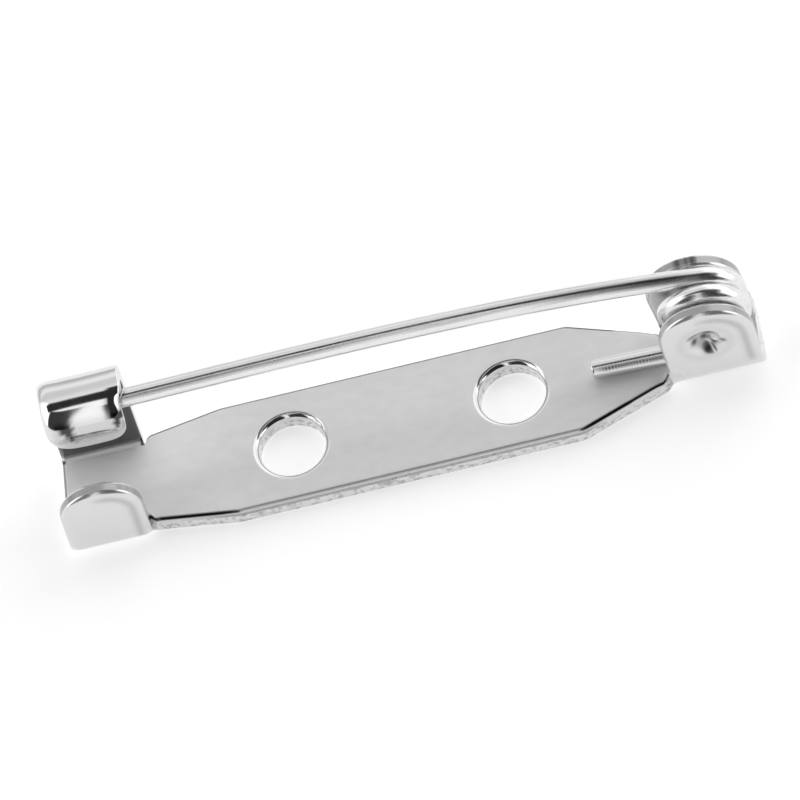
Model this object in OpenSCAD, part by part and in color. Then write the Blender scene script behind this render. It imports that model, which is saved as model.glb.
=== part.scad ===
// Brooch pin finding: a stamped sheet bar with a curled catch, a guard ear and
// two hinge ears, and a sprung wire pin whose coil turns between the hinge ears.
// Millimetres. The back of the bar lies on z = 0, +X points to the hinge and
// +Y to the side that the catch is folded up from.

/* [Bar] */
// Length over everything, from the guard to the end of the hinge ears
overall_l = 24.8; // [24.4:0.1:30]
// Thickness of the bar
sheet_t = 0.7; // [0.6:0.02:0.72]
// Thickness of the catch, guard and hinge ears, drawn thinner as they are bent up
wall_t = 0.58; // [0.5:0.02:0.6]
// Width of the wide middle of the bar
bar_w = 4.4; // [4.2:0.05:4.6]
// Width where the bar narrows into the catch and guard
catch_neck_w = 3.5; // [3.3:0.05:3.6]
// Width where the bar narrows into the hinge
hinge_neck_w = 1.9; // [1.6:0.1:2.2]
// Length of the wide middle, from corner to corner
wide_l = 12.2; // [11:0.1:13]
// How far the middle of the wide part lies from the middle of the whole length
wide_shift = -0.33; // [-0.6:0.01:-0.2]

/* [Holes] */
// Diameter of the two holes
hole_d = 2.35; // [2:0.05:2.6]
// Distance between the hole centres
hole_spacing = 7.79; // [7:0.01:8.5]
// Radius of the rolled rim of each hole
hole_roll = 0.2; // [0.05:0.01:0.24]

/* [Catch and guard] */
// Width of the catch tab and of the guard ear, along the bar
tab_w = 2.9; // [2.6:0.1:3.1]
// Outer radius of the curl that holds the pin
curl_r = 1.22; // [1.15:0.01:1.3]
// Height of the middle of the curl above the back of the bar
curl_z = 4.5; // [4.3:0.05:4.8]
// How far the lip of the curl hangs below the middle of the curl
lip_drop = 0.9; // [0.5:0.05:0.95]
// Distance from the middle of the bar to the outer face of the tab or the ear
tab_out = 2.12; // [2:0.01:2.2]
// Height of the guard ear above the back of the bar
guard_h = 3.6; // [3.4:0.05:4]

/* [Hinge] */
// Height of the pressed trunnions above the back of the bar
pivot_z = 2.88; // [2.8:0.02:2.92]
// Radius of the round top of each hinge ear
ear_r = 1.65; // [1.62:0.01:1.7]
// Clear width between the two hinge ears
ear_gap = 1.5; // [1.46:0.01:1.6]
// Radius of the bend from the bar into each hinge ear
ear_bend_r = 1.32; // [1.2:0.01:1.33]
// Radius of the trunnions pressed inwards from the ears
trunnion_r = 0.46; // [0.3:0.02:0.48]

/* [Wire] */
// Diameter of the spring wire
wire_d = 0.68; // [0.6:0.02:0.7]
// Radius of the coil, to the middle of the wire
coil_r = 1.28; // [1.25:0.01:1.3]
// How far the coil's axis sits above the trunnions
coil_lift = 0.27; // [0.2:0.01:0.3]
// Slope of the pin where it leaves the coil
root_slope = 0.17; // [0.12:0.01:0.2]
// Length of the ground point
point_l = 1.6; // [1:0.1:2.5]
// Sides of the wire's round section
wire_sides = 16; // [8:2:20]

/* [Hidden] */
metal = [0.80, 0.80, 0.81];

eps = 0.01;
right_end = overall_l/2;
left_end = -overall_l/2;
wide_left = wide_shift - wide_l/2;
wide_right = wide_shift + wide_l/2;

// Catch and guard
guard_x = left_end + tab_w/2;
catch_x = guard_x + 0.25;
bar_left = left_end + 0.1;
catch_neck_x = catch_x + tab_w/2 + 0.1;
tab_bend_r = 0.76;
curl_in = curl_r - wall_t;
curl_y = tab_out - curl_r;
guard_arc_r = tab_w/2;
lip_cut = 0.14;

// Hinge
pivot_x = right_end - ear_r;
ear_left = pivot_x - ear_r;
ear_out = ear_gap/2 + wall_t;
trunnion_in = 0.28;
trunnion_taper = 0.14;
// The far ear stands a little towards the catch and is a little rounder
far_lean = 0.25;
far_ear_r = ear_r + 0.04;
// The round dent pressed into the outer face of each ear: its depth and its two radii
dent_deep = 0.3;
dent_mouth_r = trunnion_r + 0.26;
dent_floor_r = trunnion_r - 0.16;
// Where the bar ends between the ears, and how far its sides run straight on before that
neck_run = 0.9;
neck_shoulder = 0.3;
neck_end_w = hinge_neck_w/2;

// Wire
wire_r = wire_d/2;
turn_step = wire_d + 0.02;
coil_x = pivot_x + 0.1;
coil_z = pivot_z + coil_lift;
seat_gap = 0.02;
tail_tip = [6.47, -0.1, sheet_t + wire_r + seat_gap];
tail_end = [coil_x, -0.26, sheet_t + wire_r + seat_gap];

// The pin leaves the coil near its top, so its slope sets the angle there
root_angle = 90 - atan(root_slope);
coil_stop = -432;
cross_from = -95;
cross_to = -262;
tip_x = catch_x - 1.1;
tip_y = curl_y - 0.03;
tip_z = curl_z + 0.1;
root = [coil_x + coil_r*cos(root_angle), turn_step/2, coil_z + coil_r*sin(root_angle)];
tip = [tip_x, tip_y, tip_z];
root_reach = 7;
tip_reach = 8;
tip_rise = 0.33;
shaft_steps = 30;
coil_step = 10;

function smooth(t) = t <= 0 ? 0 : t >= 1 ? 1 : t*t*(3 - 2*t);
function bezier(a, b, c, d, t) =
    pow(1 - t, 3)*a + 3*t*pow(1 - t, 2)*b + 3*t*t*(1 - t)*c + pow(t, 3)*d;

// Middle of the wire at an angle round the coil: it crosses from the far turn
// to the near turn on the side that faces the bar
function coil_point(a) = [
    coil_x + coil_r*cos(a),
    turn_step*(0.5 - smooth((cross_from - a)/(cross_from - cross_to))),
    coil_z + coil_r*sin(a)
];

// Middle of the wire along the pin, from the tip to the coil
function shaft_point(t) = bezier(
    tip,
    tip + [tip_reach, (root[1] - tip[1])/3, tip_rise],
    root + [-root_reach, (tip[1] - root[1])/3, root_slope*root_reach],
    root,
    t
);

shaft_path = [for (i = [0:shaft_steps - 1]) shaft_point(i/shaft_steps)];
coil_path = [for (a = [root_angle:-coil_step:coil_stop]) coil_point(a)];
wire_path = concat(shaft_path, coil_path);

// The point is drawn out over the first stretch of the pin and ends in a small flat
function wire_radius(p) = let (s = (p[0] - tip_x)/point_l)
    wire_r*(s >= 1 ? 1 : 0.12 + 0.88*sqrt(max(s, 0)));

module hole_at(x) {
    translate([x, 0, -eps]) cylinder(d = hole_d, h = sheet_t + 2*eps, $fn = 64);
    translate([x, 0, sheet_t - hole_roll])
        rotate_extrude($fn = 64)
            difference() {
                square([hole_d/2 + hole_roll, hole_roll + eps]);
                translate([hole_d/2 + hole_roll, 0]) circle(r = hole_roll, $fn = 32);
            }
}

module bar() {
    difference() {
        linear_extrude(height = sheet_t)
            polygon([
                [bar_left, -catch_neck_w/2], [catch_neck_x, -catch_neck_w/2],
                [wide_left, -bar_w/2], [wide_right, -bar_w/2],
                [ear_left, -hinge_neck_w/2], [ear_left + neck_shoulder, -hinge_neck_w*0.46],
                [ear_left + neck_run, -neck_end_w/2], [ear_left + neck_run, neck_end_w/2],
                [ear_left, hinge_neck_w/2],
                [wide_right, bar_w/2], [wide_left, bar_w/2],
                [catch_neck_x, catch_neck_w/2], [bar_left, catch_neck_w/2]
            ]);
        hole_at(-hole_spacing/2 + wide_shift);
        hole_at(hole_spacing/2 + wide_shift);
    }
}

// Sheet bent up from the bar: a section in Y and Z, drawn out along X
module along_x(x0, x1) {
    translate([x0, 0, 0]) rotate([90, 0, 90]) linear_extrude(height = x1 - x0) children();
}

// An outline in X and Z, drawn out along Y
module along_y(y0, y1) {
    translate([0, y1, 0]) rotate([90, 0, 0]) linear_extrude(height = y1 - y0) children();
}

// Quarter bend from the bar into an upright wall that goes up to z = top
module upright_section(out, bend, top) {
    difference() {
        union() {
            translate([out - bend, bend]) circle(r = bend, $fn = 64);
            translate([out - bend, bend]) square([bend, top - bend]);
            translate([catch_neck_w/2 - 0.8, 0]) square([out - bend - catch_neck_w/2 + 0.8, bend]);
        }
        translate([out - bend, bend]) circle(r = bend - wall_t, $fn = 64);
        translate([out - bend - 2, bend]) square([2 + bend - wall_t, top]);
        translate([out - bend - 2, wall_t]) square([2, bend]);
    }
}

module guard_outline() {
    translate([guard_x, guard_h - guard_arc_r]) circle(r = guard_arc_r, $fn = 96);
    translate([guard_x - tab_w/2, 0]) square([tab_w, guard_h - guard_arc_r]);
}

module guard() {
    intersection() {
        mirror([0, 1, 0]) along_x(guard_x - tab_w/2, guard_x + tab_w/2)
            upright_section(tab_out, tab_bend_r, guard_h);
        along_y(-tab_out - 1, 0) guard_outline();
    }
}

// The curl runs from the upright stem over the top and down to the lip
module curl_section() {
    difference() {
        translate([curl_y, curl_z]) circle(r = curl_r, $fn = 96);
        translate([curl_y, curl_z]) circle(r = curl_in, $fn = 96);
        translate([curl_y - curl_r*0.8, curl_z - curl_r - 1]) square([curl_r*2, curl_r + 1]);
    }
}

// The lip ends in a round tongue, seen from the near side
module lip_outline() {
    lip_w = tab_w - lip_cut;
    lip_x = catch_x - lip_cut/2;
    lip_z = curl_z - lip_drop;
    translate([lip_x, lip_z + lip_w/2]) circle(r = lip_w/2, $fn = 96);
    translate([lip_x - lip_w/2, lip_z + lip_w/2]) square([lip_w, 3]);
}

module catch() {
    along_x(catch_x - tab_w/2, catch_x + tab_w/2)
        upright_section(tab_out, tab_bend_r, curl_z);
    intersection() {
        along_x(catch_x - tab_w/2, catch_x + tab_w/2) curl_section();
        union() {
            along_y(curl_y - 2, curl_y) lip_outline();
            translate([catch_x - tab_w, curl_y, curl_z]) cube([2*tab_w, curl_r + 1, curl_r + 1]);
        }
    }
}

// All that lies on the inner side of one hinge wall, or of its inner face
module hinge_side(inset) {
    bend_y = ear_out - ear_bend_r;
    translate([bend_y, ear_bend_r]) circle(r = ear_bend_r - inset, $fn = 128);
    translate([-ear_out, inset]) square([ear_out + bend_y, ear_bend_r - inset]);
    translate([-ear_out, ear_bend_r]) square([2*ear_out - inset, 5]);
}

module between_walls(inset) {
    intersection() {
        hinge_side(inset);
        mirror([1, 0]) hinge_side(inset);
    }
}

// Section of the hinge: two walls that curve in under the coil and meet below it
module hinge_section() {
    difference() {
        between_walls(0);
        between_walls(wall_t);
    }
}

// An ear seen from the side: its round top of radius r stands towards the catch by lean
module ear_outline(lean, r) {
    translate([pivot_x - lean, pivot_z]) circle(r = r, $fn = 96);
    polygon([
        [ear_left, 0], [right_end, 0],
        [pivot_x - lean + r, pivot_z], [pivot_x - lean - r, pivot_z]
    ]);
}

module trunnion() {
    translate([pivot_x, ear_gap/2 - trunnion_in, pivot_z]) rotate([-90, 0, 0])
        cylinder(r1 = trunnion_r - trunnion_taper, r2 = trunnion_r + 0.1, h = trunnion_in + 0.1, $fn = 48);
}

module dent() {
    translate([pivot_x, ear_out + eps, pivot_z]) rotate([90, 0, 0])
        cylinder(r1 = dent_mouth_r, r2 = dent_floor_r, h = dent_deep, $fn = 64);
}

module hinge() {
    difference() {
        union() {
            intersection() {
                along_x(pivot_x - far_lean - far_ear_r, right_end) hinge_section();
                union() {
                    along_y(-ear_out - 1, 0) ear_outline(0, ear_r);
                    along_y(0, ear_out + 1) ear_outline(far_lean, far_ear_r);
                }
            }
            trunnion();
            mirror([0, 1, 0]) trunnion();
        }
        dent();
        mirror([0, 1, 0]) dent();
    }
}

module base_plate() {
    color(metal) union() {
        bar();
        guard();
        catch();
        hinge();
    }
}

// A round wire swept along a path: each ring stands square to the path
module swept_wire(path, sides) {
    n = len(path);
    function tangent(i) = let (d = path[min(i + 1, n - 1)] - path[max(i - 1, 0)]) d/norm(d);
    function side_of(t) = let (c = [0, 1, 0] - t*t[1]) c/norm(c);
    function ring(i) = let (t = tangent(i), u = side_of(t), v = cross(t, u), r = wire_radius(path[i]))
        [for (k = [0:sides - 1]) path[i] + r*(u*cos(360*k/sides) + v*sin(360*k/sides))];
    points = [for (i = [0:n - 1]) each ring(i)];
    walls = [for (i = [0:n - 2], k = [0:sides - 1]) let (j = (k + 1) % sides)
        [i*sides + k, i*sides + j, (i + 1)*sides + j, (i + 1)*sides + k]];
    start = [for (k = [sides - 1:-1:0]) k];
    finish = [for (k = [0:sides - 1]) (n - 1)*sides + k];
    polyhedron(points, concat([start], walls, [finish]), convexity = 8);
}

module pin_wire() {
    color(metal) swept_wire(wire_path, wire_sides);
}

// The short end of the spring lies on the bar and runs back under the coil
module spring_tail() {
    reach = tail_end - tail_tip;
    turn = atan2(reach[1], reach[0]);
    rise = acos(reach[2]/norm(reach));
    color(metal) translate(tail_tip) rotate([0, rise, turn])
        cylinder(d = wire_d, h = norm(reach), $fn = 48);
}

base_plate();
pin_wire();
spring_tail();
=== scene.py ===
# Brooch pin finding: a stamped, plated sheet bar with a curled catch, a guard ear
# and two hinge ears, and a sprung wire pin.
import math

import bpy
import numpy as np
from mathutils import Matrix, Vector
from mathutils.geometry import delaunay_2d_cdt
from mathutils.kdtree import KDTree


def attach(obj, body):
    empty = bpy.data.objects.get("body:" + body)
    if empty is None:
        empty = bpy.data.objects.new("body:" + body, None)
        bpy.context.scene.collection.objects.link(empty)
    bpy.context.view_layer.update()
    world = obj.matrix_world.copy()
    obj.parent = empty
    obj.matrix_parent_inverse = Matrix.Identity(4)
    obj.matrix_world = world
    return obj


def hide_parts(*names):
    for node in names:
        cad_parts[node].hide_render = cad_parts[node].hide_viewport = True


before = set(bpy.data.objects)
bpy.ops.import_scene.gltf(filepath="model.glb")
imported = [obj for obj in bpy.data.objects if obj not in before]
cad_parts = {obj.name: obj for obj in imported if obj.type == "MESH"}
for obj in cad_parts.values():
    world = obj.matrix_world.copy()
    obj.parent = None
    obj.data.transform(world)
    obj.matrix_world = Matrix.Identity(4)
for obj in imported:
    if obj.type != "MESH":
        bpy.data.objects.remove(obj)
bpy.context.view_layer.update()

MM = 0.001
QUARTER = math.pi / 2

# Driving sizes of the part, in millimetres
LENGTH = 24.8
SHEET_T = 0.70
WALL_T = 0.58
BAR_W = 4.4
CATCH_NECK_W = 3.5
HINGE_NECK_W = 1.9
WIDE_L = 12.2
WIDE_SHIFT = -0.33
HOLE_R = 1.175
HOLE_SPACING = 7.79
TAB_W = 2.9
TAB_OUT = 2.12
TAB_BEND_R = 0.76
CATCH_SHIFT = 0.25
CATCH_NECK_GAP = 0.1
CURL_R = 1.22
CURL_Z = 4.5
GUARD_H = 3.6
PIVOT_Z = 2.88
EAR_R = 1.65
EAR_GAP = 1.5
EAR_BEND_R = 1.32
FAR_LEAN = 0.25
FAR_EAR_R = 1.69
WIRE_D = 0.68
COIL_R = 1.28
COIL_LIFT = 0.27
COIL_SHIFT = 0.1
TURN_GAP = 0.02
POINT_L = 1.6
TIP_IN_CATCH = 1.1
TAIL_START = (6.47, -0.1)
TAIL_END_Y = -0.26
TAIL_GAP = 0.02
TAIL_CORNER = 0.08

# How far the lip goes on past half a turn of the catch's curl, where the coil ends
# (round it from its right side, minus for downwards), and the slope of the shaft
# where it meets the coil
LIP_TURN = math.radians(47)
COIL_END = math.radians(-432)
ROOT_SLOPE = 0.17

# Places that follow from them
RIGHT_END = LENGTH / 2
LEFT_END = -LENGTH / 2
WIDE_LEFT = WIDE_SHIFT - WIDE_L / 2
WIDE_RIGHT = WIDE_SHIFT + WIDE_L / 2
HOLE_PLACES = (WIDE_SHIFT - HOLE_SPACING / 2, WIDE_SHIFT + HOLE_SPACING / 2)
GUARD_X = LEFT_END + TAB_W / 2
CATCH_X = GUARD_X + CATCH_SHIFT
CATCH_NECK_X = CATCH_X + TAB_W / 2 + CATCH_NECK_GAP
TAB_BEND_Y = TAB_OUT - TAB_BEND_R
CURL_Y = TAB_OUT - CURL_R
PIVOT_X = RIGHT_END - EAR_R
EAR_LEFT = PIVOT_X - EAR_R
EAR_OUT = EAR_GAP / 2 + WALL_T
EAR_BEND_Y = EAR_OUT - EAR_BEND_R
WIRE_R = WIRE_D / 2
TURN_STEP = WIRE_D + TURN_GAP
COIL_X = PIVOT_X + COIL_SHIFT
COIL_Z = PIVOT_Z + COIL_LIFT

# Distances along the unrolled sheet, from the middle line of the bar
TAB_WALL_S = TAB_BEND_Y + TAB_BEND_R * QUARTER
CURL_S = TAB_WALL_S + CURL_Z - TAB_BEND_R
GUARD_TOP_S = TAB_WALL_S + GUARD_H - TAB_BEND_R
LIP_S = CURL_S + CURL_R * (math.pi + LIP_TURN)
EAR_WALL_S = EAR_BEND_Y + EAR_BEND_R * QUARTER
PIVOT_S = EAR_WALL_S + PIVOT_Z - EAR_BEND_R
EAR_TOP_S = PIVOT_S + EAR_R

# Height up to which the edge of the bar is torn and not sheared
BREAK_H = 0.42

# Rounding of the sheet's upper edge (it reaches a little less far down than along the
# face) and of its lower edge, what the folded ends have more of it (upper edge; lower
# edge along the face and through it), what the lip has less, where the hinge's end
# starts, and the rolled upper rim of the holes (along the face and through it)
EDGE_ROUND = 0.15
EDGE_FLATTER = 0.01
LOW_EDGE_ROUND = 0.06
END_EXTRA = 0.06
END_LOW_EXTRA = (0.34, 0.18)
LIP_LOW_LESS = 0.16
HINGE_END_X = 8
HOLE_ROLL = (0.25, 0.18)
ROUND_STEPS = 8

# Mesh: spacing of the sheet's outline and inner points (finer in the punch marks), and
# the least distance between an inner point and the outline
OUTLINE_STEP = 0.11
GRID_STEP = 0.13
FINE_STEP = 0.055
FINE_R = 0.9
LEAST_GAP = 0.55 * GRID_STEP
HOLE_SIDES = 96

# Mesh of the wire, and the shape of the pin's shaft: how far its curve keeps the
# direction of each end, and how much the point's end climbs on that way
WIRE_SIDES = 32
SHAFT_RINGS = 161
COIL_STEP = math.radians(4)
TAIL_RINGS = 200
SHAFT_HANDLES = (8, 7)
SHAFT_RISE = 0.33

# How much narrower the lip of the catch is than its wall, how far it bulges, how far
# its ridge lies to the right, and how far it hangs below a round curl
LIP_NARROWER = 0.14
LIP_CROWN = 0.12
CROWN_SHIFT = 0.15
LIP_HANG = 0.12

# Punch mark in each ear: its place from the pivot (left and down), a dish, a pit with a
# flat middle, and a nub in it
MARK_LEFT = 0.08
MARK_DOWN = 0.05
DISH_R = 0.95
DISH_DEEP = 0.07
PIT_R = 0.78
PIT_FLAT_R = 0.12
PIT_DEEP = 0.34
NUB_PLACE = (0.26, -0.1)
NUB_R = 0.16
NUB_HIGH = 0.16

# Middles of the finer mesh in both punch marks, on the flat blank and to a tenth of a
# millimetre
FINE_PLACES = (
    (PIVOT_X - MARK_LEFT, -PIVOT_S - MARK_DOWN),
    (PIVOT_X - FAR_LEAN - MARK_LEFT, PIVOT_S - MARK_DOWN),
)

# Painted shade spots in each punch mark, then on the far ear alone: from the pivot along
# the bar and upwards, and the radius
PIT_SHADE_SPOTS = [
    (-0.12, -0.15, 0.15), (-0.48, -0.12, 0.12), (0.5, -0.1, 0.12),
    (-0.1, -0.62, 0.13), (0.17, -0.42, 0.09), (0.02, 0.12, 0.13),
]
FAR_EAR_SHADE_SPOTS = [
    (-0.4, 1.62, 0.12), (-0.1, 1.62, 0.1), (0.14, 1.68, 0.1), (-1.25, 1.0, 0.15), (-1.1, 0.4, 0.2),
]

# Colour of the plate, of the wire, of the plate's satin faces and of its torn edges
METAL = (0.745, 0.745, 0.75)
WIRE_METAL = (0.82, 0.82, 0.825)
SATIN_COLOUR = (0.855, 0.855, 0.86)
CUT_COLOUR = (0.87, 0.87, 0.875)

# How metallic a satin face and a torn edge are, how satin the outer faces of the guard
# and the ears are, what share of its colour painted shade of 1 takes away (minus values
# paint light), and the span that the plate's painted shade and light values are kept in
SATIN_METAL = 0.14
CUT_METAL = 0.5
OUTER_SATIN = 0.3
PAINTED_SHADE_WEIGHT = 0.6
PAINTED_SHADING_LEAST = -0.3
PAINTED_SHADING_MOST = 1.5

# Painted dark reflections along the wire: degrees round it from its back over its top, and how wide
SHAFT_DARK_REFLECTION = (114, 22)
TAIL_DARK_REFLECTION = (136, 16)

# Depth of the fine relief, in metres
SHEET_RELIEF = 0.000012
CUT_RELIEF = 0.00003
WIRE_RELIEF = 0.00001

# Camera: its three directions, and its sizes in metres
TOWARD_CAMERA = (0.07641, -0.55422, 0.82885)
CAMERA_RIGHT = (0.97001, -0.15106, -0.19043)
CAMERA_UP = (0.23075, 0.81854, 0.52605)
VIEW_WIDTH = 0.02751
VIEW_SHIFT_RIGHT = -0.000509
VIEW_SHIFT_UP = 0.000925
CAMERA_FAR = 0.25


def rise(value, start, width):
    """0 up to start, 1 from start + width on, and a soft step between."""
    t = np.clip((value - start) / width, 0, 1)
    return t * t * (3 - 2 * t)


def fall(value, start, width):
    """1 up to start, 0 from start + width on, and a soft step between."""
    return 1 - rise(value, start, width)


def make_camera():
    """A camera without perspective, at the photo's angle."""
    data = bpy.data.cameras.new("camera")
    data.type = "ORTHO"
    data.ortho_scale = VIEW_WIDTH
    data.clip_start = 0.001
    data.clip_end = 2
    camera = bpy.data.objects.new("camera", data)
    right, up, toward = Vector(CAMERA_RIGHT), Vector(CAMERA_UP), Vector(TOWARD_CAMERA)
    place = toward * CAMERA_FAR + right * VIEW_SHIFT_RIGHT + up * VIEW_SHIFT_UP
    camera.matrix_world = Matrix((right, up, toward)).transposed().to_4x4()
    camera.location = place
    bpy.context.collection.objects.link(camera)
    bpy.context.scene.camera = camera


def rounded_outline(corners, step):
    """Closed outline through corners (x, s, fillet), with a point every step."""
    points = []
    count = len(corners)
    for i, (x, s, fillet) in enumerate(corners):
        corner = np.array([x, s])
        before = np.array(corners[i - 1][:2]) - corner
        after = np.array(corners[(i + 1) % count][:2]) - corner
        before, after = before / np.linalg.norm(before), after / np.linalg.norm(after)
        half = math.acos(np.clip(before @ after, -1, 1)) / 2
        nearly_straight = half > 1.55
        if fillet == 0 or nearly_straight:
            points.append(corner)
            continue
        reach = fillet / math.tan(half)
        halfway = (before + after) / np.linalg.norm(before + after)
        middle = corner + halfway * fillet / math.sin(half)
        start, end = corner + before * reach - middle, corner + after * reach - middle
        turn = math.atan2(start[0] * end[1] - start[1] * end[0], start @ end)
        steps = max(3, int(abs(turn) * fillet / step) + 1)
        for k in range(steps + 1):
            angle = turn * k / steps
            cos, sin = math.cos(angle), math.sin(angle)
            points.append(middle + np.array([[cos, -sin], [sin, cos]]) @ start)
    dense = []
    for i, point in enumerate(points):
        way = points[(i + 1) % len(points)] - point
        pieces = max(1, int(np.linalg.norm(way) / step))
        for k in range(pieces):
            dense.append(point + way * k / pieces)
    return np.array(dense)


def blank_outline():
    """The sheet before it is bent: x along the bar, s across it along the sheet."""
    guard_l, guard_r = GUARD_X - TAB_W / 2, GUARD_X + TAB_W / 2
    catch_l, catch_r = CATCH_X - TAB_W / 2, CATCH_X + TAB_W / 2
    neck, wide, hinge = CATCH_NECK_W / 2, BAR_W / 2, HINGE_NECK_W / 2
    lip_r = catch_r - LIP_NARROWER
    far_ear_x = PIVOT_X - FAR_LEAN
    far_ear_top = PIVOT_S + FAR_EAR_R
    corners = [
        (guard_l, -TAB_BEND_Y, 1.0),
        (guard_l, -GUARD_TOP_S, 1.41), (guard_r, -GUARD_TOP_S, 1.41),
        (guard_r, -neck, 0.2),
        (CATCH_NECK_X, -neck, 0.8), (WIDE_LEFT, -wide, 1.0), (WIDE_RIGHT, -wide, 0.8),
        (EAR_LEFT, -hinge, 0.3),
        (EAR_LEFT, -EAR_TOP_S, 1.6), (RIGHT_END, -EAR_TOP_S, 1.6),
        (RIGHT_END, 0, 0),
        (RIGHT_END, PIVOT_S / 2, 1.0),
        (far_ear_x + FAR_EAR_R, far_ear_top, 1.64), (far_ear_x - FAR_EAR_R, far_ear_top, 1.64),
        (EAR_LEFT, hinge, 0.3),
        (WIDE_RIGHT, wide, 0.8), (WIDE_LEFT, wide, 1.0),
        (catch_r, neck, 0.12),
        (catch_r, CURL_S + CURL_R * 1.6, 0.8), (lip_r, CURL_S + CURL_R * 2.2, 0.8),
        (lip_r, LIP_S, 0.95), (catch_l, LIP_S, 1.25),
        (catch_l, TAB_BEND_Y, 1.0),
    ]
    return rounded_outline(corners, OUTLINE_STEP)


def circle_outline(x, r, count):
    """Clockwise circle round (x, 0)."""
    turn = np.linspace(0, 2 * math.pi, count, endpoint=False)
    return np.column_stack([x + r * np.cos(turn), -r * np.sin(turn)])


def inward(loop):
    """Unit normals of a closed outline, towards its left-hand side."""
    ahead = np.roll(loop, -1, 0) - loop
    ahead /= np.linalg.norm(ahead, axis=1)[:, None]
    along = ahead + np.roll(ahead, 1, 0)
    along /= np.linalg.norm(along, axis=1)[:, None]
    return np.column_stack([-along[:, 1], along[:, 0]])


def dent(x, s):
    """Depth of the punch mark in an ear: a wide shallow dish with an uneven pit in it."""
    x, s = x + MARK_LEFT, s + MARK_DOWN
    r, turn = np.hypot(x, s), np.arctan2(s, x)
    uneven = r * (1 + 0.14 * np.sin(2 * turn + 0.6) + 0.1 * np.sin(3 * turn + 2))
    dish = DISH_DEEP * fall(r, 0, DISH_R)
    pit = PIT_DEEP * fall(uneven, PIT_FLAT_R, PIT_R - PIT_FLAT_R)
    from_nub = (x - NUB_PLACE[0]) ** 2 + (s - NUB_PLACE[1]) ** 2
    return dish + pit - NUB_HIGH * np.exp(-from_nub / NUB_R ** 2)


def bend(x, s, h):
    """Where a point of the flat blank goes: x along the bar, s across, h through the sheet."""
    side, away = np.sign(s), np.abs(s)

    # The folded walls are thinner than the bar
    tab_middle = np.where(s > 0, CATCH_X, GUARD_X)
    tab = fall(x - tab_middle, TAB_W / 2, 0.2)
    thin_tab = rise(away, TAB_BEND_Y, 0.8)
    thin_ear = rise(away, 0.3, 1.2) * rise(x - EAR_LEFT, -0.8, 0.8)
    h = h * (1 - (thin_ear + (thin_tab - thin_ear) * tab) * (1 - WALL_T / SHEET_T))

    def folded(start, radius):
        """Where the sheet goes if it is folded up from start on, round a radius."""
        turn = np.clip((away - start) / radius, 0, QUARTER)
        rest = away - start - turn * radius
        y = np.minimum(away, start) + (radius - h) * np.sin(turn)
        z = radius - (radius - h) * np.cos(turn) + np.where(turn >= QUARTER, rest, 0)
        return y, z

    # Catch and guard are folded up
    y, z = away.copy(), h.copy()
    y_tab, z_tab = folded(TAB_BEND_Y, TAB_BEND_R)
    y, z = y + (y_tab - y) * tab, z + (z_tab - z) * tab

    # The catch is curled, with a lip that bulges and hangs
    curl = s > CURL_S
    turn = (away - CURL_S) / CURL_R
    across = (x - CATCH_X - CROWN_SHIFT) / (TAB_W / 2)
    crown = LIP_CROWN * (across ** 2 + across ** 4) / 2 * rise(turn, 0.7, 1.2)
    y = np.where(curl, CURL_Y + (CURL_R - h - crown) * np.cos(turn), y)
    z = np.where(curl, CURL_Z + (CURL_R - h - crown) * np.sin(turn), z)
    z = z - LIP_HANG * rise(turn, 2.8, 1.0) * curl

    # The hinge ears are folded up and punched inwards, and the far one leans
    y_ear, z_ear = folded(EAR_BEND_Y, EAR_BEND_R)
    lean = np.where(s > 0, FAR_LEAN * rise(away, 1, PIVOT_S - 1), 0)
    y_ear = y_ear - dent(x - PIVOT_X + lean, away - PIVOT_S)
    neck = rise(x - EAR_LEFT, -0.35, 0.45)
    wall = rise(away, 1.15, 0.3) * rise(x - EAR_LEFT, -0.55, 0.15)
    ear = np.maximum(neck, wall)
    y, z = y + (y_ear - y) * ear, z + (z_ear - z) * ear
    return np.column_stack([x, side * y, z])


def bend_normals(x, s, h, flat):
    """Normals of the bent sheet from normals of the flat blank."""
    nudge = 1e-4
    here = bend(x, s, h)
    slopes = np.stack([
        (bend(x + nudge, s, h) - here) / nudge,
        (bend(x, s + nudge, h) - here) / nudge,
        (bend(x, s, h + nudge) - here) / nudge,
    ], axis=2)
    return np.einsum("nij,nj->ni", np.linalg.inv(slopes).transpose(0, 2, 1), flat)


def inside(points, loop):
    """Which points lie inside a closed loop: a ray from there crosses it an odd number of times."""
    x, y = points[:, 0][:, None], points[:, 1][:, None]
    x0, y0 = loop[:, 0], loop[:, 1]
    x1, y1 = np.roll(x0, -1), np.roll(y0, -1)
    crosses = ((y0 > y) != (y1 > y)) & (x < (x1 - x0) * (y - y0) / (y1 - y0 + 1e-12) + x0)
    return crosses.sum(1) % 2 == 1


def on_sheet(points, loops):
    """Which points lie inside the first loop and in none of the others."""
    kept = inside(points, loops[0])
    for loop in loops[1:]:
        kept &= ~inside(points, loop)
    return kept


def mesh_object(name, points, faces, normals):
    """A smooth mesh from points in millimetres, with the given normals if there are any."""
    mesh = bpy.data.meshes.new(name)
    mesh.from_pydata([tuple(p) for p in points * MM], [], faces)
    mesh.validate()
    mesh.update()
    mesh.shade_smooth()
    if normals is not None:
        lengths = np.linalg.norm(normals, axis=1)[:, None]
        mesh.normals_split_custom_set_from_vertices([tuple(n) for n in normals / lengths])
    piece = bpy.data.objects.new(name, mesh)
    bpy.context.collection.objects.link(piece)
    return piece


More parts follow.
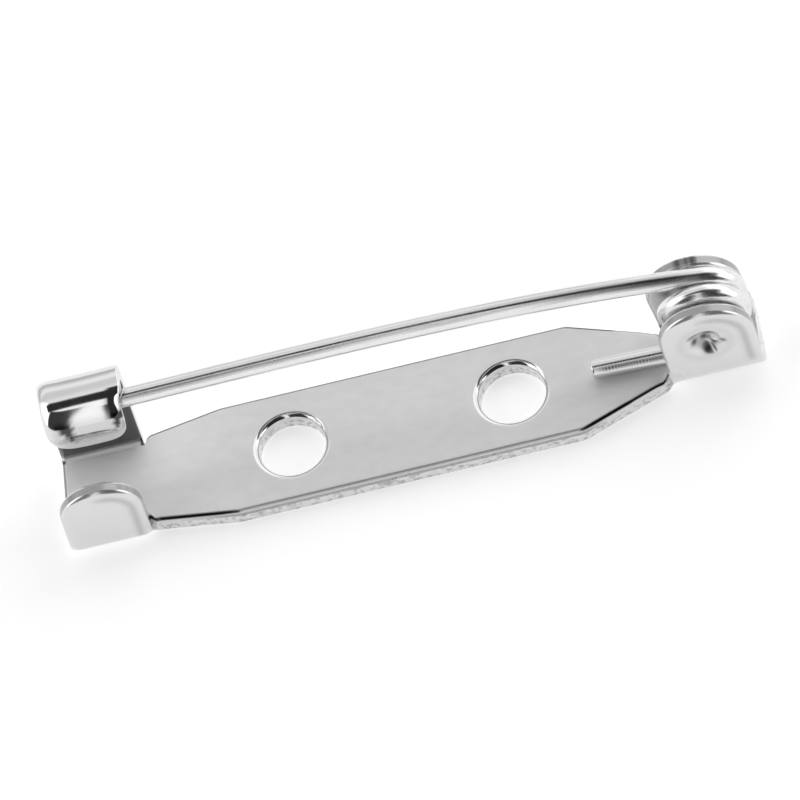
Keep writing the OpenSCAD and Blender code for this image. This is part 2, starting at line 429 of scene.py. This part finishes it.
def cap(loops):
    """Fills the first loop apart from the others, more finely in the punch marks.

    Gives the points inside, and triangles that count the loops' own points first.
    """
    low, high = loops[0].min(0), loops[0].max(0)
    columns, rows = (np.arange(low[i], high[i], GRID_STEP) for i in range(2))
    grid = np.stack(np.meshgrid(columns, rows), axis=-1).reshape(-1, 2)
    grid = grid[on_sheet(grid, loops)]
    for x, s in FINE_PLACES:
        parts = [grid[np.hypot(grid[:, 0] - x, grid[:, 1] - s) > FINE_R]]
        for r in np.arange(FINE_STEP, FINE_R, FINE_STEP):
            parts.append(circle_outline(x, r, int(2 * math.pi * r / FINE_STEP)) + [0, s])
        grid = np.concatenate(parts)
    border = np.concatenate(loops)
    nearest = np.array([np.min(np.hypot(*(border - point).T)) for point in grid])
    grid = grid[nearest > LEAST_GAP]
    points = np.concatenate([border, grid])
    edges = []
    first = 0
    for loop in loops:
        edges += [(first + i, first + (i + 1) % len(loop)) for i in range(len(loop))]
        first += len(loop)
    result = delaunay_2d_cdt([Vector(p) for p in points], edges, [], 0, 1e-7)
    source = [numbers[0] for numbers in result[3]]
    triangles = np.array([[source[corner] for corner in face] for face in result[2]])
    return grid, triangles[on_sheet(points[triangles].mean(1), loops)]


def to_outline(x, s, loop):
    """Distance from each point to the outline, and how far the way there points along x."""
    tree = KDTree(len(loop))
    for i, (a, b) in enumerate(loop):
        tree.insert((a, b, 0), i)
    tree.balance()
    found = [tree.find((a, b, 0)) for a, b in zip(x, s)]
    far = np.array([f[2] for f in found])
    ahead = np.array([f[0][0] for f in found]) - x
    return far, ahead / np.maximum(far, 0.02)


def add_values(piece, name, values):
    """Gives each point of a mesh a value that its material reads."""
    attribute = piece.data.attributes.new(name, "FLOAT", "POINT")
    attribute.data.foreach_set("value", values.astype(np.float32))


def satin_values(s, up, on_bar, catch, rim):
    """How satin the plate is.

    The bar and the inner faces are satin. The lip's end and the outside of guard and
    ears are less so. The rest of the catch's outside, the inside of its curl and the
    bar's rounded upper edges are bright.
    """
    tongue = 0.75 * rise(s - CURL_S, CURL_R * 2.95, 0.4)
    outer = np.where(catch, tongue, OUTER_SATIN) * (1 - on_bar)
    inner = rise(up, 0.8, 0.2) * np.where(catch, fall(s, 2.4, 0.6), 1)
    satin = np.where(up > 0, outer + (1 - outer) * inner, outer + on_bar)
    return np.where(rim, rise(up, 0.97, 0.03), satin)


def painted_lip_reflections(x, s):
    """Painted dark reflections on the front of the lip: two dark patches that narrow downwards, with
    a little painted shade between them.
    """
    turn = (s - CURL_S) / CURL_R
    across = (x - CATCH_X) / (TAB_W / 2) + 0.03 * np.sin(25 * turn)
    down = rise(turn, 2.4, 0.15) * fall(turn, 3.15, 0.15)
    narrow = 0.55 * np.clip(turn - 2.55, 0, 1)
    middle = rise(across, -0.9, 0.15) * fall(across, 0.82, 0.12)
    left = rise(across, narrow - 0.8, 0.1) * fall(across, -0.4, 0.12)
    right = rise(across, 0.62, 0.1) * fall(across, 0.92 - 0.9 * narrow, 0.1)
    return down * (0.3 * middle + 1.5 * left + 1.4 * right)


def spots(along, upwards, table):
    """Sum of soft round spots, from a table of their places and radii."""
    total = np.zeros(len(along))
    for place, height, r in table:
        total += np.exp(-(np.hypot(along - place, upwards - height) / r) ** 2)
    return total


def ear_painted_shade(x, s, up):
    """Painted shade on the ears: in the pit and the ring of each punch mark, and small spots."""
    along, upwards = x - PIVOT_X, np.abs(s) - PIVOT_S
    lean = np.where(s > 0, FAR_LEAN, 0)
    r = np.hypot(along + lean + MARK_LEFT, upwards + MARK_DOWN)
    depth = dent(along + lean, upwards) / PIT_DEEP
    mark_shade = 0.25 * rise(depth, 0.3, 0.35) + 0.16 * np.exp(-((r - 0.88) / 0.18) ** 2)
    mark_shade = mark_shade + 1.4 * spots(along, upwards, PIT_SHADE_SPOTS)
    outside = (x > EAR_LEFT + 0.2) & (np.abs(s) > 2) & (up < 0)
    return np.where(outside, mark_shade, 0) + spots(along, s - PIVOT_S, FAR_EAR_SHADE_SPOTS)


def painted_shading_values(x, s, up, outline, on_bar, catch, rim):
    """Painted shade and light in the plate's colour: shade along its edges, in the catch, on the lip
    and on the ears, and light on the bar towards the catch.
    """
    away = np.abs(s)
    off_bar = rise(away, 1.8, 0.4)
    # Painted shade along the bar's rounded upper edges, weaker round the holes
    fade = np.where(s > 1.5, 0.05, 0.12)
    edge = rise(up, 0.1, 0.35) * fall(up, 0.995 - fade, fade) * on_bar
    edge *= np.where(rim, 0.25, np.where(away > 1.5, 1.9, 1))
    # Painted shade on the flat cut edges of the folded walls
    painted_wall_edge_shade = 0.8 * fall(np.abs(up), 0, 0.1) * off_bar
    # Painted shade inside the catch, on its wall and in its curl
    cavity = np.where(catch, 1.35 * rise(s, 2.3, 0.5) * rise(up, 0.3, 0.4), 0)
    # Painted dark reflections on the front of the lip
    lip = np.where(catch & (up < 0), painted_lip_reflections(x, s), 0)

    # A soft line of painted shade inside the outline of guard and ears, apart from their left side
    far, ahead = to_outline(x, s, outline)
    line = 0.5 * np.exp(-((far - 0.38) / 0.14) ** 2) * rise(ahead, -0.35, 0.6)
    line = np.where(catch | (up > 0), 0, line) * off_bar

    # Painted light on the bar's top towards the catch, where the catch and guard shade it
    painted_light_left = 0.25 * fall(x, -9, 5) * on_bar * rise(up, 0.9, 0.1)
    shading = edge + painted_wall_edge_shade + line + cavity + lip + ear_painted_shade(x, s, up) - painted_light_left
    return np.clip(shading, PAINTED_SHADING_LEAST, PAINTED_SHADING_MOST)


def satin_and_shading_values(piece, x, s, up, outline):
    """Per point: how satin the plate is there, and the painted shade and light in its colour."""
    on_bar = fall(np.abs(s), BAR_W / 2 - 0.2, 0.3) * (x < EAR_LEFT + 0.5)
    catch = (s > TAB_BEND_Y) & (x < CATCH_X + TAB_W / 2 + 0.02)
    holes = [np.hypot(x - hole_x, s) for hole_x in HOLE_PLACES]
    rim = (np.min(holes, 0) < HOLE_R + HOLE_ROLL[0] + 0.02) & (up > 0)
    add_values(piece, "satin", satin_values(s, up, on_bar, catch, rim))
    add_values(piece, "painted_shading", painted_shading_values(x, s, up, outline, on_bar, catch, rim))


def edge_rounding(loop, is_hole):
    """Reach and depth of the rounding of the upper edge, then of the lower edge."""
    x, s = loop.T
    even = np.ones(len(loop))
    if is_hole:
        return HOLE_ROLL[0] * even, HOLE_ROLL[1] * even, LOW_EDGE_ROUND * even, LOW_EDGE_ROUND * even
    on_end = (x < CATCH_NECK_X - 0.2) | (x > HINGE_END_X)
    soft = rise(np.abs(s), 1.5, 0.8) * on_end
    lip = rise(s - CURL_S, CURL_R * 3, 0.6)
    low_reach = LOW_EDGE_ROUND + (END_LOW_EXTRA[0] - LIP_LOW_LESS * lip) * soft
    low_deep = LOW_EDGE_ROUND + END_LOW_EXTRA[1] * soft
    upper = EDGE_ROUND + END_EXTRA * soft
    return upper, upper - EDGE_FLATTER, low_reach, low_deep


def edge_rings(loop, is_hole):
    """Rings of points round one edge of the sheet, from its back to its front.

    A ring has the points' places, their heights and their normals.
    """
    into_sheet = inward(loop)
    top_reach, top_deep, low_reach, low_deep = edge_rounding(loop, is_hole)
    rings = []
    turns = [QUARTER * k / ROUND_STEPS for k in range(ROUND_STEPS + 1)]

    def add_ring(inset, height, outwards, upwards):
        place = loop + into_sheet * inset[:, None]
        rings.append((place, height, np.column_stack([-into_sheet * outwards[:, None], upwards])))

    for turn in turns:
        cos, sin = math.cos(turn), math.sin(turn)
        add_ring(low_reach * (1 - sin), low_deep * (1 - cos), low_deep * sin, -low_reach * cos)
    zero = np.zeros(len(loop))
    add_ring(zero, zero + BREAK_H, zero + 1, zero)
    for turn in turns:
        cos, sin = math.cos(turn), math.sin(turn)
        height = SHEET_T - top_deep * (1 - sin)
        add_ring(top_reach * (1 - cos), height, top_deep * cos, top_reach * sin)
    return rings


def edge_faces(loops, starts):
    """Faces between neighbouring rings, and which are torn: low on the bar's edges."""
    faces, torn = [], []
    for loop, firsts in zip(loops, starts):
        of_bar = np.abs(loop[:, 1]) < BAR_W / 2 + 0.1
        for ring, (low, high) in enumerate(zip(firsts, firsts[1:])):
            for here in range(len(loop)):
                ahead = (here + 1) % len(loop)
                if ring == ROUND_STEPS and of_bar[here]:
                    torn.append(len(faces))
                faces.append((low + here, low + ahead, high + ahead, high + here))
    return faces, torn


def sheet_metal():
    """The blank with rounded edges, bent, and which of its faces are torn."""
    loops = [blank_outline()]
    for x in HOLE_PLACES:
        loops.append(circle_outline(x, HOLE_R, HOLE_SIDES))
    rings = [edge_rings(loop, number > 0) for number, loop in enumerate(loops)]
    points, flats, starts = [], [], []
    total = 0
    for loop_rings in rings:
        starts.append([])
        for place, height, flat in loop_rings:
            starts[-1].append(total)
            points.append(np.column_stack([place, height]))
            flats.append(flat)
            total += len(place)
    faces, torn = edge_faces(loops, starts)

    # The back, then the front; the order of its corners turns a triangle to face outwards
    for level, height, up, order in ((0, 0.0, -1.0, [0, 2, 1]), (-1, SHEET_T, 1.0, [0, 1, 2])):
        inner, triangles = cap([loop_rings[level][0] for loop_rings in rings])
        numbers = [firsts[level] + np.arange(len(loop)) for loop, firsts in zip(loops, starts)]
        numbers.append(total + np.arange(len(inner)))
        total += len(inner)
        points.append(np.column_stack([inner, np.full(len(inner), height)]))
        flats.append(np.tile([0, 0, up], (len(inner), 1)))
        faces += np.concatenate(numbers)[triangles][:, order].tolist()

    x, s, h = np.concatenate(points).T
    flats = np.concatenate(flats)
    piece = mesh_object("sheet_metal", bend(x, s, h), faces, bend_normals(x, s, h, flats))
    satin_and_shading_values(piece, x, s, flats[:, 2] / np.linalg.norm(flats, axis=1), loops[0])
    return piece, torn


def bezier(a, b, c, d, t):
    """Points of a cubic curve from a to d, with the handles b and c."""
    t = t[:, None]
    return (1 - t) ** 3 * a + 3 * t * (1 - t) ** 2 * b + 3 * t * t * (1 - t) * c + t ** 3 * d


def tube(name, path, radius):
    """A round wire along a path, closed by flat ends."""
    along = np.roll(path, -1, 0) - np.roll(path, 1, 0)
    along[0], along[-1] = path[1] - path[0], path[-1] - path[-2]
    along /= np.linalg.norm(along, axis=1)[:, None]
    beside = np.array([0, 1.0, 0]) - along * along[:, 1][:, None]
    beside /= np.linalg.norm(beside, axis=1)[:, None]
    over = np.cross(along, beside)
    turn = np.linspace(0, 2 * math.pi, WIRE_SIDES, endpoint=False)
    cos, sin = np.cos(turn)[None, :, None], np.sin(turn)[None, :, None]
    out = beside[:, None, :] * cos + over[:, None, :] * sin
    points = path[:, None, :] + out * radius[:, None, None]
    last = (len(path) - 1) * WIRE_SIDES
    faces = []
    for ring in range(0, last, WIRE_SIDES):
        for here in range(WIRE_SIDES):
            ahead = (here + 1) % WIRE_SIDES
            faces.append((ring + here, ring + ahead,
                          ring + WIRE_SIDES + ahead, ring + WIRE_SIDES + here))
    faces.append(tuple(range(WIRE_SIDES - 1, -1, -1)))
    faces.append(tuple(range(last, last + WIRE_SIDES)))
    return mesh_object(name, points.reshape(-1, 3), faces, None)


def round_the_wire(rings, centre, width):
    """Per point of a wire: 1 along the line at centre degrees, fading out over width."""
    turn = np.arange(WIRE_SIDES) * 360 / WIRE_SIDES
    return np.tile(np.exp(-((turn - centre) / width) ** 2), rings)


def pin():
    """The sprung pin: a bowed shaft with a point, and its coil."""
    root_angle = QUARTER - math.atan(ROOT_SLOPE)
    root = np.array([COIL_X + COIL_R * math.cos(root_angle), TURN_STEP / 2,
                     COIL_Z + COIL_R * math.sin(root_angle)])
    tip = np.array([CATCH_X - TIP_IN_CATCH, CURL_Y - 0.03, CURL_Z + 0.1])
    sideways = (root[1] - tip[1]) / 3
    after_tip = tip + [SHAFT_HANDLES[0], sideways, SHAFT_RISE]
    before_root = root + [-SHAFT_HANDLES[1], -sideways, ROOT_SLOPE * SHAFT_HANDLES[1]]
    shaft = bezier(tip, after_tip, before_root, root, np.linspace(0, 1, SHAFT_RINGS))

    # The coil steps over to the near side on its left, from the bottom to the top
    angle = np.arange(root_angle - COIL_STEP, COIL_END, -COIL_STEP)
    cross = rise(-angle, math.radians(95), math.radians(167))
    coil = np.column_stack([
        COIL_X + COIL_R * np.cos(angle), TURN_STEP * (0.5 - cross), COIL_Z + COIL_R * np.sin(angle)])

    path = np.concatenate([shaft, coil])
    run = (path[:, 0] - tip[0]) / POINT_L
    radius = np.where(run >= 1, 1, 0.1 + 0.9 * np.sqrt(np.clip(run, 0, 1)))
    radius[SHAFT_RINGS:] = 1
    piece = tube("spring_pin", path, radius * WIRE_R)

    # Painted dark reflection along the shaft towards the hinge, not on the coil
    hinge_end = rise(path[:, 0], 1, 7) * fall(path[:, 0], root[0] - 1.2, 1.2)
    hinge_end[SHAFT_RINGS:] = 0
    painted_line = round_the_wire(len(path), *SHAFT_DARK_REFLECTION)
    add_values(piece, "painted_shading", np.repeat(hinge_end, WIRE_SIDES) * painted_line)
    return piece


def tail():
    """The wire's other end: straight, on the bar, with a painted dark reflection along it that
    varies in fine steps.
    """
    seat = SHEET_T + WIRE_R + TAIL_GAP
    start, end = np.array([*TAIL_START, seat]), np.array([COIL_X, TAIL_END_Y, seat])
    t = np.linspace(0, 1, TAIL_RINGS)
    path = start + (end - start) * t[:, None]
    run = t * np.linalg.norm(end - start)
    drop = np.clip(1 - run / TAIL_CORNER, 0, 1)
    radius = WIRE_R - TAIL_CORNER * (1 - np.sqrt(1 - drop ** 2))
    piece = tube("spring_end", path, radius)

    # The painted dark reflection varies about ten times to the millimetre, a little unevenly spaced
    band_steps = (0.8 + 0.2 * np.sin(run * 62 + 2 * np.sin(run * 5))) * rise(run, 0, 0.6)
    painted_line = round_the_wire(len(path), *TAIL_DARK_REFLECTION)
    add_values(piece, "painted_shading", 1.6 * np.repeat(band_steps, WIRE_SIDES) * painted_line)
    return piece


def new_material(name):
    """A material, its nodes, their links and its main shader."""
    material = bpy.data.materials.new(name)
    material.use_nodes = True
    nodes, links = material.node_tree.nodes, material.node_tree.links
    return material, nodes, links, nodes["Principled BSDF"]


def feed(links, socket, value):
    """Sets a socket to a number, or links it to another node's output."""
    if isinstance(value, (int, float)):
        socket.default_value = value
    else:
        links.new(value, socket)


def math_node(nodes, links, operation, a, b=0.0):
    """One step of arithmetic on numbers or on other nodes' outputs."""
    node = nodes.new("ShaderNodeMath")
    node.operation = operation
    feed(links, node.inputs[0], a)
    feed(links, node.inputs[1], b)
    return node.outputs[0]


def mix_node(nodes, links, kind, factor, at_zero, at_one):
    """A mix of numbers (kind Float) or of colours (kind Color)."""
    node = nodes.new("ShaderNodeMix")
    node.data_type = {"Float": "FLOAT", "Color": "RGBA"}[kind]
    ends = {socket.identifier: socket for socket in node.inputs}
    feed(links, node.inputs["Factor"], factor)
    feed(links, ends["A_" + kind], at_zero)
    feed(links, ends["B_" + kind], at_one)
    return {socket.identifier: socket for socket in node.outputs}["Result_" + kind]


def noise_between(nodes, links, place, scale, detail, result, spread=(0.3, 0.7)):
    """Fine noise, stretched so that the part of it within spread fills result."""
    noise = nodes.new("ShaderNodeTexNoise")
    noise.inputs["Scale"].default_value = scale
    noise.inputs["Detail"].default_value = detail
    links.new(place, noise.inputs["Vector"])
    stretch = nodes.new("ShaderNodeMapRange")
    stretch.inputs["From Min"].default_value = spread[0]
    stretch.inputs["From Max"].default_value = spread[1]
    stretch.inputs["To Min"].default_value = result[0]
    stretch.inputs["To Max"].default_value = result[1]
    links.new(noise.outputs["Fac"], stretch.inputs["Value"])
    return stretch.outputs["Result"]


def stretched(nodes, links, along):
    """Object coordinates, drawn out along the bar by a factor."""
    place = nodes.new("ShaderNodeTexCoord")
    mapping = nodes.new("ShaderNodeMapping")
    mapping.inputs["Scale"].default_value = (1 / along, 1, 1)
    links.new(place.outputs["Object"], mapping.inputs["Vector"])
    return mapping.outputs["Vector"]


def tint(nodes, links, colour, factor):
    """A colour, lighter or darker by a factor."""
    scale = nodes.new("ShaderNodeVectorMath")
    scale.operation = "SCALE"
    scale.inputs[0].default_value = colour
    links.new(factor, scale.inputs["Scale"])
    return scale.outputs["Vector"]


def point_value(nodes, name):
    """A value that the mesh holds for each of its points."""
    attribute = nodes.new("ShaderNodeAttribute")
    attribute.attribute_name = name
    return attribute.outputs["Fac"]


def light_left(nodes, links):
    """What the painted shade leaves of the colour, as a share of it; a minus value paints light."""
    loss = math_node(nodes, links, "MULTIPLY", point_value(nodes, "painted_shading"), PAINTED_SHADE_WEIGHT)
    return math_node(nodes, links, "SUBTRACT", 1.0, loss)


def relief(nodes, links, shader, height, depth):
    """Fine bumps on a surface, from a height that is worked out in its material."""
    bump = nodes.new("ShaderNodeBump")
    bump.inputs["Strength"].default_value = 0.5
    bump.inputs["Distance"].default_value = depth
    links.new(height, bump.inputs["Height"])
    links.new(bump.outputs["Normal"], shader.inputs["Normal"])


def sheet_material():
    """Plate that is bright or satin, with painted shade and light in its colour, as the mesh's
    points say.
    """
    material, nodes, links, shader = new_material("plated_sheet")
    place = stretched(nodes, links, 1.6)
    bright = noise_between(nodes, links, place, 1500, 4, (0.06, 0.13))
    worn = noise_between(nodes, links, place, 3500, 4, (0.42, 0.55))
    bright_tone = noise_between(nodes, links, place, 700, 3, (0.97, 1.02))
    worn_tone = noise_between(nodes, links, place, 2600, 5, (0.965, 1.025))
    satin, light = point_value(nodes, "satin"), light_left(nodes, links)
    bright_colour = tint(nodes, links, METAL,
                         math_node(nodes, links, "MULTIPLY", bright_tone, light))
    worn_colour = tint(nodes, links, SATIN_COLOUR,
                       math_node(nodes, links, "MULTIPLY", worn_tone, light))
    links.new(mix_node(nodes, links, "Float", satin, bright, worn), shader.inputs["Roughness"])
    links.new(mix_node(nodes, links, "Float", satin, 1.0, SATIN_METAL), shader.inputs["Metallic"])
    links.new(mix_node(nodes, links, "Color", satin, bright_colour, worn_colour),
              shader.inputs["Base Color"])
    height = noise_between(nodes, links, place, 900, 3, (0, 1), (0, 1))
    relief(nodes, links, shader, height, SHEET_RELIEF)
    return material


def cut_material():
    """The torn lower part of the sheared edges: grey with fine dark pits."""
    material, nodes, links, shader = new_material("cut_edge")
    shader.inputs["Metallic"].default_value = CUT_METAL
    place = stretched(nodes, links, 1.4)
    tone = noise_between(nodes, links, place, 7500, 3, (0.58, 1.0), (0.35, 0.53))
    rough = noise_between(nodes, links, place, 3000, 2, (0.3, 0.5))
    links.new(tint(nodes, links, CUT_COLOUR, tone), shader.inputs["Base Color"])
    links.new(rough, shader.inputs["Roughness"])
    relief(nodes, links, shader, tone, CUT_RELIEF)
    return material


def wire_material():
    """Drawn wire: bright, with fine lines that run along it, and painted dark reflections where the
    mesh's points say.
    """
    material, nodes, links, shader = new_material("plated_wire")
    shader.inputs["Metallic"].default_value = 1.0
    place = stretched(nodes, links, 25)
    drawn_lines = noise_between(nodes, links, place, 9000, 3, (0.93, 1.03))
    rough = noise_between(nodes, links, place, 7000, 2, (0.19, 0.28))
    tone = math_node(nodes, links, "MULTIPLY", drawn_lines, light_left(nodes, links))
    links.new(tint(nodes, links, WIRE_METAL, tone), shader.inputs["Base Color"])
    links.new(rough, shader.inputs["Roughness"])
    relief(nodes, links, shader, drawn_lines, WIRE_RELIEF)
    return material


def floor():
    """The white ground that it lies on."""
    bpy.ops.mesh.primitive_plane_add(size=1.2, location=(0, 0, 0))
    ground = bpy.context.object
    ground.name = "floor"
    material, nodes, links, shader = new_material("pale_floor")
    shader.inputs["Base Color"].default_value = (0.9, 0.9, 0.9, 1)
    shader.inputs["Roughness"].default_value = 0.9
    shader.inputs["Specular IOR Level"].default_value = 0.0
    shader.inputs["Emission Color"].default_value = (1, 1, 1, 1)
    shader.inputs["Emission Strength"].default_value = FLOOR_GLOW
    ground.data.materials.append(material)


def between(nodes, links, value, low, high, soft):
    """1 where value lies between low and high, with soft ends."""
    ends = []
    for start, stop in ((low - soft, low + soft), (high + soft, high - soft)):
        step = nodes.new("ShaderNodeMapRange")
        step.interpolation_type = "SMOOTHSTEP"
        step.inputs["From Min"].default_value = min(start, stop)
        step.inputs["From Max"].default_value = max(start, stop)
        step.inputs["To Min"].default_value = 0.0 if start < stop else 1.0
        step.inputs["To Max"].default_value = 1.0 if start < stop else 0.0
        links.new(value, step.inputs["Value"])
        ends.append(step.outputs["Result"])
    return math_node(nodes, links, "MULTIPLY", *ends)


# The studio tent: its own brightness, how much the white floor glows, and its panels
# from the first laid to the last. A panel has its brightness, where it is measured
# (ceiling: across and towards the back, both over the height; wall: degrees round from
# the front to the right, and degrees up), its two spans and how soft its borders are.
# The order is: ceiling over the back, a dimmer strip of it that the bar mirrors, two
# walls behind, brighter ceiling on the right, two bright side walls, two dark gaps
# overhead, two dark gaps at the front corners, and white below the floor.
TENT = 1.25
FLOOR_GLOW = 0.43
PANELS = [
    (1.05, "ceiling", (-9, 9), (0.1, 30), 0.05),
    (0.78, "ceiling", (-9, 9), (0.35, 1.1), 0.25),
    (0.6, "wall", (110, 190), (-9, 20), 10.0),
    (0.6, "wall", (-190, -110), (-9, 20), 10.0),
    (1.35, "ceiling", (0.35, 9), (0.15, 30), 0.15),
    (1.9, "wall", (-110, -62), (3, 62), 8.0),
    (1.8, "wall", (58, 110), (3, 62), 8.0),
    (0.03, "ceiling", (-0.9, 1.3), (-0.33, 0.15), 0.05),
    (0.03, "ceiling", (0.06, 1.3), (-1.4, 0.25), 0.04),
    (0.03, "wall", (1, 56), (-5, 52), 2.0),
    (0.05, "wall", (-60, -11), (-5, 62), 2.0),
    (TENT, "wall", (-195, 195), (-99, -4), 1.0),
]


def studio():
    """A white tent with dark gaps overhead and at both front corners."""
    world = bpy.data.worlds.new("studio")
    bpy.context.scene.world = world
    bpy.context.scene.view_settings.view_transform = "Standard"
    world.use_nodes = True
    nodes, links = world.node_tree.nodes, world.node_tree.links
    place = nodes.new("ShaderNodeTexCoord")
    split = nodes.new("ShaderNodeSeparateXYZ")
    links.new(place.outputs["Generated"], split.inputs[0])
    x, y, z = split.outputs
    height = math_node(nodes, links, "MAXIMUM", z, 0.02)
    degrees = 180 / math.pi
    back = math_node(nodes, links, "MULTIPLY", y, -1.0)
    measures = {
        "ceiling": (math_node(nodes, links, "DIVIDE", x, height),
                    math_node(nodes, links, "DIVIDE", y, height)),
        "wall": (math_node(nodes, links, "MULTIPLY",
                           math_node(nodes, links, "ARCTAN2", x, back), degrees),
                 math_node(nodes, links, "MULTIPLY",
                           math_node(nodes, links, "ARCSINE", z), degrees)),
    }
    light = TENT
    for level, where, first_span, second_span, soft in PANELS:
        first, second = measures[where]
        mask = math_node(
            nodes, links, "MULTIPLY",
            between(nodes, links, first, *first_span, soft),
            between(nodes, links, second, *second_span, soft))
        light = mix_node(nodes, links, "Float", mask, light, level)
    links.new(light, nodes["Background"].inputs["Color"])


make_camera()
studio()
floor()

plate_finish = sheet_material()
cut_finish = cut_material()
wire_finish = wire_material()

plate, torn_faces = sheet_metal()
plate.data.materials.append(plate_finish)
plate.data.materials.append(cut_finish)
for face in torn_faces:
    plate.data.polygons[face].material_index = 1
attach(plate, "base")
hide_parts("base_plate")

needle = pin()
needle.data.materials.append(wire_finish)
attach(needle, "pin")
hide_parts("pin_wire")

end = tail()
end.data.materials.append(wire_finish)
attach(end, "base")
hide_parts("spring_tail")
